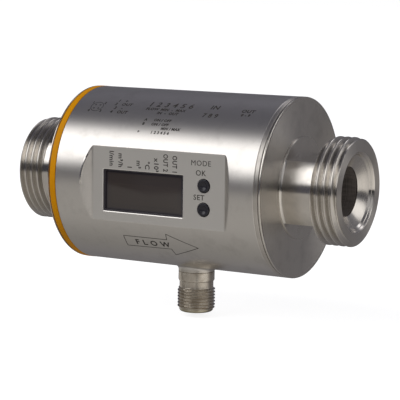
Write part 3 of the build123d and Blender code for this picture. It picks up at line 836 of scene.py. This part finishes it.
# ------------------------------------------------------------------ buttons
for nm, bz in zip(("mode", "set"), BUTTON_Z):
    ball = (DISH_R ** 2 + DISH_DEPTH ** 2) / (2 * DISH_DEPTH)
    prof = []
    # dimple, softly blended into the flat rim, then the rounded edge
    for k in range(0, 15):
        r = (DISH_R - 0.08) * k / 14
        prof.append((r, BUTTON_TOP + DISH_DEPTH - ball + sqrt(ball ** 2 - r ** 2)))
    for r, dy_ in ((DISH_R - 0.02, 0.035), (DISH_R + 0.06, 0.010), (DISH_R + 0.16, 0.0), (1.6, 0.0), (BUTTON_R - BUTTON_ROUND, 0.0)):
        prof.append((r, BUTTON_TOP + dy_))
    for k in range(1, 9):
        a = pi / 2 * k / 8
        prof.append((BUTTON_R - BUTTON_ROUND + BUTTON_ROUND * sin(a), BUTTON_TOP + BUTTON_ROUND - BUTTON_ROUND * cos(a)))
    prof += [(BUTTON_R, -24.6), (BUTTON_R, -23.37), (3.1, -23.37), (3.1, -22.9), (1.2, -22.9), (1.2, -22.6), (0.0, -22.6)]
    n = 96
    rows = [[(BUTTON_X + r * cos(2 * pi * i / n), y, bz + r * sin(2 * pi * i / n)) for i in range(n)] for r, y in prof]
    v, f = grid(rows, close_rows=False)
    new_object(nm + "_button_cap", v, f, MATS["button_black"], body=nm + "_push", slot="button_black", replaces=(nm + "_button",))

# ---------------------------------------------------------------- connector
ZP = 1.0


def connector_mesh(n):
    """Shell of the plug: collar, groove, M12 thread along its helix, rounded open end."""
    verts, faces = [], []

    def ring(z, rf):
        return [(CONN_X + rf(a) * cos(a), rf(a) * sin(a), z) for a in [2 * pi * i / n for i in range(n)]]

    def mark(z, a):
        """Small coding notch in the collar, on the front left."""
        d = ((a - radians(239) + pi) % (2 * pi)) - pi
        return 0.22 if abs(d) < radians(2.3) and -32.2 < z < -30.9 else 0.0

    def sheet(block, closed):
        base = len(verts)
        m = len(block[0])
        for r in block:
            verts.extend(r)
        for j in range(len(block) - 1):
            for i in range(m if closed else m - 1):
                k = (i + 1) % m
                faces.append((base + j * m + i, base + j * m + k, base + (j + 1) * m + k, base + (j + 1) * m + i))

    top = []
    for r, z in ((3.87, -23.6), (4.97, -23.6), (4.97, -25.6), (4.3, -25.6), (4.3, -26.6), (4.97, -26.6), (4.97, BOSS_Z), (5.6, BOSS_Z), (5.6, BOSS_Z - 0.2),
                 (5.7, BOSS_Z - 0.24), (5.78, BOSS_Z - 0.32)):
        top.append(ring(z, lambda a, r=r: r))
    for z in (-29.9, -30.4, -30.88, -30.92, -31.4, -31.85, -32.0):
        top.append(ring(z, lambda a, z=z: 5.78 - mark(z, a)))
    for r, z in ((5.73, -32.15), (5.62, -32.27), (5.55, -32.33), (5.55, -32.43), (5.42, -32.52), (5.42, -33.4), (5.42, -34.3), (5.44, -34.42)):
        top.append(ring(z, lambda a, r=r: r))
    z0, z1 = 34.5, -M12_Z1 + 0.35

    def radius(zz, t):
        r = M12_R - vee((zz - 35.0) / ZP - t, ZP, 30.0, 0.05, 0.10, 0.13)
        up = max(0.0, min(1.0, (zz - 34.4) / 0.75))
        dn = max(0.0, min(1.0, (z1 - zz) / 0.5))
        lo = 5.42
        return lo + max(0.0, r - lo) * sin(min(up, dn) * pi / 2)

    body = [[(CONN_X + r * cos(2 * pi * t), r * sin(2 * pi * t), -zz) for zz, t, r in row]
            for row in helix_grid(z0, z1, ZP, 20, n, 35.0, 1, radius)]
    end = []
    for r, z in ((5.42, -41.5), (5.38, -41.75), (5.27, -41.98), (5.1, -42.15), (4.88, -42.26), (4.7, CONN_END_Z), (4.55, -42.27), (4.42, -42.18), (4.35, -42.0),
                 (4.35, -34.0), (3.87, -34.0), (3.87, -23.6)):
        end.append(ring(z, lambda a, r=r: r))
    sheet(top, True)
    sheet(body, False)
    sheet([top[-1], body[0][:-1]], True)
    sheet([body[-1][:-1], end[0]], True)
    sheet(end, True)
    return verts, faces


v, f = connector_mesh(192)
new_object("connector_shell_turned", v, f, MATS["connector_nickel"], slot="connector_nickel", sharp=28, replaces=("connector_shell",))

# remaining parts keep their CAD shape, welded and shaded smooth
for node in sorted(NODES):
    if not NODES[node].hide_render:
        refined(node, node + "_part", sharp=26.0)

# -------------------------------------------------------------------- marks
MARK = 0.022


def text_mesh(text, size, spacing=1.0, slant=0.0, bold=0.05, squeeze=1.0):
    """Flat outline of plain lettering in mm, as a bmesh in XY, centred on its own box."""
    cu = bpy.data.curves.new("t", "FONT")
    cu.body = text
    cu.size = size
    cu.space_character = spacing
    cu.shear = slant
    cu.resolution_u = 3
    cu.align_x = "CENTER"
    cu.fill_mode = "BOTH"
    cu.extrude = MARK / 2
    cu.offset = bold
    ob = bpy.data.objects.new("t", cu)
    scene.collection.objects.link(ob)
    dg = bpy.context.evaluated_depsgraph_get()
    me = bpy.data.meshes.new_from_object(ob.evaluated_get(dg))
    bpy.data.objects.remove(ob)
    bpy.data.curves.remove(cu)
    bm = bmesh.new()
    bm.from_mesh(me)
    bpy.data.meshes.remove(me)
    if bm.verts:
        ys = [q.co.y for q in bm.verts]
        mid = (min(ys) + max(ys)) / 2
        xs = [q.co.x for q in bm.verts]
        mx = (min(xs) + max(xs)) / 2
        for q in bm.verts:
            q.co.y -= mid
            q.co.x = (q.co.x - mx) * squeeze
    return bm


def line_mesh(points, width, closed=False):
    """Thin raised line of constant width through flat points, as a bmesh in XY."""
    bm = bmesh.new()
    pts = [Vector(p) for p in points]
    m = len(pts)
    left, right = [], []
    for i in range(m):
        a = pts[i - 1] if (closed or i > 0) else None
        b = pts[(i + 1) % m] if (closed or i < m - 1) else None
        d1 = (pts[i] - a).normalized() if a is not None else None
        d2 = (b - pts[i]).normalized() if b is not None else None
        if d1 is None:
            d1 = d2
        if d2 is None:
            d2 = d1
        n1, n2 = Vector((-d1.y, d1.x)), Vector((-d2.y, d2.x))
        nn = (n1 + n2)
        nn = nn / max(0.35, nn.dot(n1)) * (width / 2)
        left.append(pts[i] + nn)
        right.append(pts[i] - nn)
    rings = []
    for p, q in zip(left, right):
        rings.append([bm.verts.new((p.x, p.y, MARK / 2)), bm.verts.new((q.x, q.y, MARK / 2)),
                      bm.verts.new((q.x, q.y, -MARK / 2)), bm.verts.new((p.x, p.y, -MARK / 2))])
    for i in range(m if closed else m - 1):
        r0, r1 = rings[i], rings[(i + 1) % m]
        for k in range(4):
            bm.faces.new((r0[k], r0[(k + 1) % 4], r1[(k + 1) % 4], r1[k]))
    if not closed:
        bm.faces.new(rings[0])
        bm.faces.new(rings[-1][::-1])
    return bm


def place_mark(name, parts, where):
    """parts: list of (bmesh, x, s, turn). where: 'facet' or 'tube'. s is height (facet) or arc length (tube)."""
    out = bmesh.new()
    for bm, px, ps, turn in parts:
        ca, sa = cos(radians(turn)), sin(radians(turn))
        for q in bm.verts:
            x, y = q.co.x, q.co.y
            q.co.x, q.co.y = px + x * ca - y * sa, ps + x * sa + y * ca
        if where == "tube":
            ys = [q.co.y for q in bm.verts]
            lo, hi = min(ys), max(ys)
            k = int(lo / 0.5)
            while k * 0.5 < hi:
                if k * 0.5 > lo:
                    geom = list(bm.verts) + list(bm.edges) + list(bm.faces)
                    bmesh.ops.bisect_plane(bm, geom=geom, plane_co=(0, k * 0.5, 0), plane_no=(0, 1, 0), dist=1e-6)
                k += 1
        me = bpy.data.meshes.new("tmp")
        bm.to_mesh(me)
        bm.free()
        out.from_mesh(me)
        bpy.data.meshes.remove(me)
    for q in out.verts:
        x, s, h = q.co.x, q.co.y, q.co.z + MARK * 0.42
        if where == "facet":
            q.co = Vector((x, FACET_Y - h, s)) * MM
        else:
            a = s / BODY_R
            q.co = Vector((x, -(BODY_R + h) * cos(a), (BODY_R + h) * sin(a))) * MM
    bmesh.ops.remove_doubles(out, verts=out.verts, dist=1e-8)
    bmesh.ops.recalc_face_normals(out, faces=out.faces)
    me = bpy.data.meshes.new(name)
    out.to_mesh(me)
    out.free()
    me.materials.append(MATS["print"])
    ob = bpy.data.objects.new(name, me)
    scene.collection.objects.link(ob)
    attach(ob, "meter")
    return ob


def arc(deg):
    return radians(deg) * BODY_R


# unit marks over the window, each beside its indicator light, reading down
units = [("l/min", -15.25, 7.9), ("m³/h", -12.0, 7.5), ("l", -8.75, 5.6), ("m³", -5.5, 6.6), ("°C", -2.4, 6.55), ("x10³", 0.75, 6.9), ("OUT 2", 4.0, 7.75), ("OUT 1", 7.2, 7.6)]
place_mark("unit_marks", [(text_mesh(t, 2.2, 1.08, squeeze=0.8 if len(t) == 5 and t[0] == "O" else 1.0), ux, uz, -90) for t, ux, uz in units], "facet")
place_mark("button_marks", [(text_mesh("MODE", 2.3, 1.12, bold=0.0), 16.3, 8.5, 0), (text_mesh("OK", 2.3, 1.12, bold=0.02), 16.3, 5.55, 0), (text_mesh("SET", 2.25, 1.12, bold=0.025), 15.7, -1.87, 0)], "facet")
arrow = [(-12.42, -35.5), (3.1, -35.5), (3.43, -30.8), (13.36, -40.4), (3.71, -50.3), (3.32, -44.2), (-12.53, -44.8)]
arrow_pts = [(x, arc(a)) for x, a in arrow]
place_mark("flow_arrow", [(line_mesh(arrow_pts, 0.2, closed=True), 0, 0, 0), (text_mesh("FLOW", 3.1, 1.75, bold=0.07), -2.6, arc(-40.2), 0)], "tube")


def circle_pts(cx0, cy0, r, n=40):
    return [(cx0 + r * cos(2 * pi * i / n), cy0 + r * sin(2 * pi * i / n)) for i in range(n)]


# plug layout with its four numbers, and rows of plain ratings
def plug_layout(x0, deg):
    s0 = arc(deg)
    parts = [(line_mesh(circle_pts(0, 0, 2.1), 0.17, closed=True), x0, s0, 0)]
    for k, num in enumerate(("2", "1", "4", "3")):
        a = radians(45 + 90 * k)
        parts.append((line_mesh(circle_pts(0, 0, 0.22, 12), 0.16, closed=True), x0 + 1.15 * cos(a), s0 + 1.15 * sin(a), 0))
        parts.append((text_mesh(num, 1.5), x0 + 3.1 * cos(a), s0 + 2.7 * sin(a), 0))
    return parts


place_mark("plug_layout", plug_layout(-26.6, 54.6), "tube")
# plain words and numbers only: no ratings, names or approvals
rows_text = [("1   +", -18.6, 62.0, 1.7), ("2   OUT", -17.6, 58.2, 1.7), ("3   -", -18.6, 54.4, 1.7), ("4   OUT", -17.6, 50.6, 1.7),
             ("1 2 3 4 5 6", -0.6, 60.3, 3.3), ("FLOW", -6.4, 55.3, 1.5), ("MIN  -  MAX", 1.0, 55.3, 1.5), ("IN  -  OUT", -0.2, 51.9, 1.5),
             ("A", -6.6, 45.7, 1.35), ("ON / OFF", -0.6, 45.7, 1.35), ("B", -6.8, 42.3, 1.35), ("ON / OFF", -0.9, 42.3, 1.35), ("MIN / MAX", 3.4, 39.3, 1.3),
             ("+", -7.5, 36.2, 1.35), ("1 2 3 4 5 6", 0.2, 36.2, 1.35), ("IN", 14.6, 60.6, 2.8), ("7 8 9", 14.6, 52.4, 2.4),
             ("OUT", 26.4, 58.6, 2.0), ("0 - 9", 26.2, 54.6, 1.5)]
place_mark("rating_rows", [(text_mesh(t, size, 1.08, 0.1, bold=0.06), x, arc(d), 0) for t, x, d, size in rows_text], "tube")

# ------------------------------------------------------------------- camera
cam_data = bpy.data.cameras.new("camera")
cam = bpy.data.objects.new("camera", cam_data)
scene.collection.objects.link(cam)
right = Vector((0.871544, 0.490136, 0.013294))
up = Vector((-0.078456, 0.112642, 0.990533))
back = Vector((0.483999, -0.864337, 0.136627))
eye = Vector((262.7604, -465.8978, 67.0522)) * MM
cam.matrix_world = Matrix(((right.x, up.x, back.x, eye.x), (right.y, up.y, back.y, eye.y), (right.z, up.z, back.z, eye.z), (0, 0, 0, 1)))
cam_data.sensor_width = 36.0
cam_data.lens = 1700.225 / 400.0 * 36.0
cam_data.clip_start, cam_data.clip_end = 0.01, 20.0
cam_data.dof.use_dof = False
scene.camera = cam

# -------------------------------------------------------------------- floor
bm = bmesh.new()
bmesh.ops.create_grid(bm, x_segments=8, y_segments=8, size=4.0)
for q in bm.verts:
    q.co.z = -0.0440
me = bpy.data.meshes.new("floor")
bm.to_mesh(me)
bm.free()
floor = bpy.data.objects.new("floor", me)
scene.collection.objects.link(floor)
mat, net, b, pos = material("floor_paper")
n = net.noise(pos, 0.05, 3, 0.5)
net.l.new(net.mix(n, (0.36, 0.36, 0.36, 1), (0.38, 0.38, 0.38, 1)), b.inputs["Base Color"])
b.inputs["Roughness"].default_value = 0.9
b.inputs["Specular IOR Level"].default_value = 0.1
b.inputs["Emission Color"].default_value = (1, 1, 1, 1)
b.inputs["Emission Strength"].default_value = 0.86
me.materials.append(mat)
floor.visible_glossy = False
floor.visible_diffuse = False

# -------------------------------------------------------------------- light
world = bpy.data.worlds.new("studio")
scene.world = world
world.use_nodes = True
wt = world.node_tree
for nd in list(wt.nodes):
    wt.nodes.remove(nd)
W = Net(wt)
out = W.node("ShaderNodeOutputWorld")
tc = W.node("ShaderNodeTexCoord")
d = W.vm("NORMALIZE", tc.outputs["Generated"])
dx, dy, dz = W.xyz(d)
t = W.lin(dz, -1.0, 1.0)


def zp(z):
    return (z + 1.0) / 2.0


def tone(v, tint=(1, 1, 1)):
    return tuple(v * c for c in tint)


WARM, COOL, SKY = (1.0, 0.97, 0.93), (1.0, 0.97, 1.01), (0.95, 0.955, 1.15)
# table and lower walls, front (dy = -1) to back (dy = 1)
low = W.ramp(W.lin(dy, -1.0, 1.0), [(zp(-1.0), tone(0.40, WARM)), (zp(-0.86), tone(0.42, WARM)), (zp(-0.72), tone(0.46, WARM)), (zp(-0.54), tone(0.47, WARM)), (zp(-0.39), tone(0.42, WARM)),
                                    (zp(-0.22), tone(0.35, WARM)), (zp(-0.05), tone(0.305, WARM)), (zp(0.13), tone(0.275, WARM)),
                                    (zp(0.46), tone(0.235, COOL)), (zp(0.72), tone(0.205, COOL)), (zp(1.0), tone(0.20, COOL))])
# brighter to the far left, and to the right
side = W.m("MULTIPLY", W.m("MULTIPLY", W.step(dx, -0.70, -0.92), 0.32), W.step(dy, -0.15, 0.15))
side = W.m("ADD", side, W.m("MULTIPLY", W.m("MULTIPLY", W.step(dx, -0.56, -0.43), 0.085), W.step(dy, 0.75, 0.3)))
side = W.m("SUBTRACT", side, W.m("MULTIPLY", W.m("MULTIPLY", W.step(dx, 0.36, 0.44), W.step(dx, 0.64, 0.56)), W.m("MULTIPLY", W.step(dy, -0.66, -0.74), 0.35)))
# the strip of table nearest the front is lighter
side = W.m("ADD", side, W.m("MULTIPLY", W.step(dy, -0.90, -0.97), 0.16))
side = W.m("ADD", side, W.m("MULTIPLY", W.m("MULTIPLY", W.step(dx, 0.0, 0.5), 0.20), W.step(dy, 0.35, -0.15)))
side = W.m("ADD", side, W.m("MULTIPLY", W.m("MULTIPLY", W.step(dx, 0.60, 0.95), 0.45), W.step(dy, 0.6, 0.2)))
side_rgb = W.node("ShaderNodeVectorMath", operation="SCALE")
side_rgb.inputs[0].default_value = WARM
W.put(side_rgb.inputs["Scale"], side)
low = W.vm("ADD", low, side_rgb.outputs[0])
# room above: dim and cool, with a dark band over the table at the front
up_back = W.ramp(t, [(zp(0.0), tone(0.14, SKY)), (zp(0.15), tone(0.13, SKY)), (zp(0.32), tone(0.12, SKY)), (zp(0.50), tone(0.13, SKY)), (zp(0.64), tone(0.205, SKY)),
                     (zp(0.74), tone(0.20, SKY)), (zp(0.83), tone(0.125, SKY)), (zp(1.0), tone(0.125, SKY))])
up_front = W.ramp(t, [(zp(-0.2), tone(0.038, SKY)), (zp(0.20), tone(0.034, SKY)), (zp(0.30), tone(0.10, SKY)), (zp(1.0), tone(0.13, SKY))])
front = W.step(dy, 0.35, -0.25)
gap = W.m("MULTIPLY", W.m("MULTIPLY", W.step(dx, -0.54, -0.45), W.step(dx, -0.12, -0.3)), W.m("MULTIPLY", W.step(dz, 0.36, 0.2), 0.12))
gap_rgb = W.node("ShaderNodeVectorMath", operation="SCALE")
gap_rgb.inputs[0].default_value = SKY
W.put(gap_rgb.inputs["Scale"], gap)
up_front = W.vm("ADD", up_front, gap_rgb.outputs[0])
up_rgb = W.mix(front, up_back, up_front)
glow = W.node("ShaderNodeVectorMath", operation="SCALE")
glow.inputs[0].default_value = (0.10, 0.098, 0.094)
W.put(glow.inputs["Scale"], W.m("MULTIPLY", W.step(dx, -0.15, 0.35), W.step(dy, 0.15, 0.6)))
up_rgb = W.vm("ADD", up_rgb, glow.outputs[0])
edge_z = W.m("MULTIPLY", front, -0.07)
above = W.step(W.m("SUBTRACT", dz, edge_z), -0.018, 0.018)
base = W.mix(above, low, up_rgb)


def softbox(centre, half_w, half_h, edge, strength, tint=(1, 1, 1), roll=0.0):
    c = Vector(centre).normalized()
    a = Vector((0, 0, 1)).cross(c).normalized()
    bvec = c.cross(a)
    if roll:
        a, bvec = a * cos(radians(roll)) + bvec * sin(radians(roll)), bvec * cos(radians(roll)) - a * sin(radians(roll))
    dc = W.vm("DOT_PRODUCT", d, tuple(c))
    safe = W.m("MAXIMUM", dc, 0.05)
    u = W.m("ABSOLUTE", W.m("DIVIDE", W.vm("DOT_PRODUCT", d, tuple(a)), safe))
    v = W.m("ABSOLUTE", W.m("DIVIDE", W.vm("DOT_PRODUCT", d, tuple(bvec)), safe))
    m = W.m("MULTIPLY", W.step(u, half_w + edge, half_w - edge), W.step(v, half_h + edge, half_h - edge))
    m = W.m("MULTIPLY", m, W.step(dc, 0.05, 0.15))
    nd = W.node("ShaderNodeVectorMath", operation="SCALE")
    nd.inputs[0].default_value = tuple(strength * k for k in tint)
    W.put(nd.inputs["Scale"], m)
    return nd.outputs[0]


total = base
for box in (
        softbox((-0.56, -0.62, 0.535), 0.52, 0.31, 0.10, 2.35),
        softbox((0.84, 0.26, 0.44), 0.38, 0.24, 0.09, 1.5, (1.0, 0.99, 0.97)),
        softbox((-0.38, -0.45, 0.81), 0.12, 0.10, 0.10, 0.7),
        softbox((0.12, 0.60, 0.79), 0.34, 0.12, 0.12, 1.7, (1.0, 1.0, 1.03)),
        softbox((0.55, -0.66, 0.50), 0.55, 0.34, 0.22, 0.55)):
    nd = W.node("ShaderNodeVectorMath", operation="ADD")
    W.put(nd.inputs[0], total)
    W.put(nd.inputs[1], box)
    total = nd.outputs[0]
bg = W.node("ShaderNodeBackground")
W.put(bg.inputs["Color"], total)
bg.inputs["Strength"].default_value = 1.0
white = W.node("ShaderNodeBackground")
white.inputs["Color"].default_value = (1, 1, 1, 1)
lp = W.node("ShaderNodeLightPath")
mixs = W.node("ShaderNodeMixShader")
W.put(mixs.inputs[0], lp.outputs["Is Camera Ray"])
wt.links.new(bg.outputs[0], mixs.inputs[1])
wt.links.new(white.outputs[0], mixs.inputs[2])
wt.links.new(mixs.outputs[0], out.inputs["Surface"])
world.cycles.sampling_method = "MANUAL"
world.cycles.sample_map_resolution = 1024

# soft lamp over the front for the plastic and printed surfaces
lamp_data = bpy.data.lights.new("over_front", "AREA")
lamp_data.shape = "SQUARE"
lamp_data.size = 0.42
lamp_data.energy = 1.7
lamp = bpy.data.objects.new("over_front", lamp_data)
scene.collection.objects.link(lamp)
aim = Vector((-0.30, -0.52, 0.80)).normalized()
lamp.location = aim * 0.6
lamp.rotation_euler = aim.to_track_quat("Z", "Y").to_euler()
lamp.visible_glossy = False
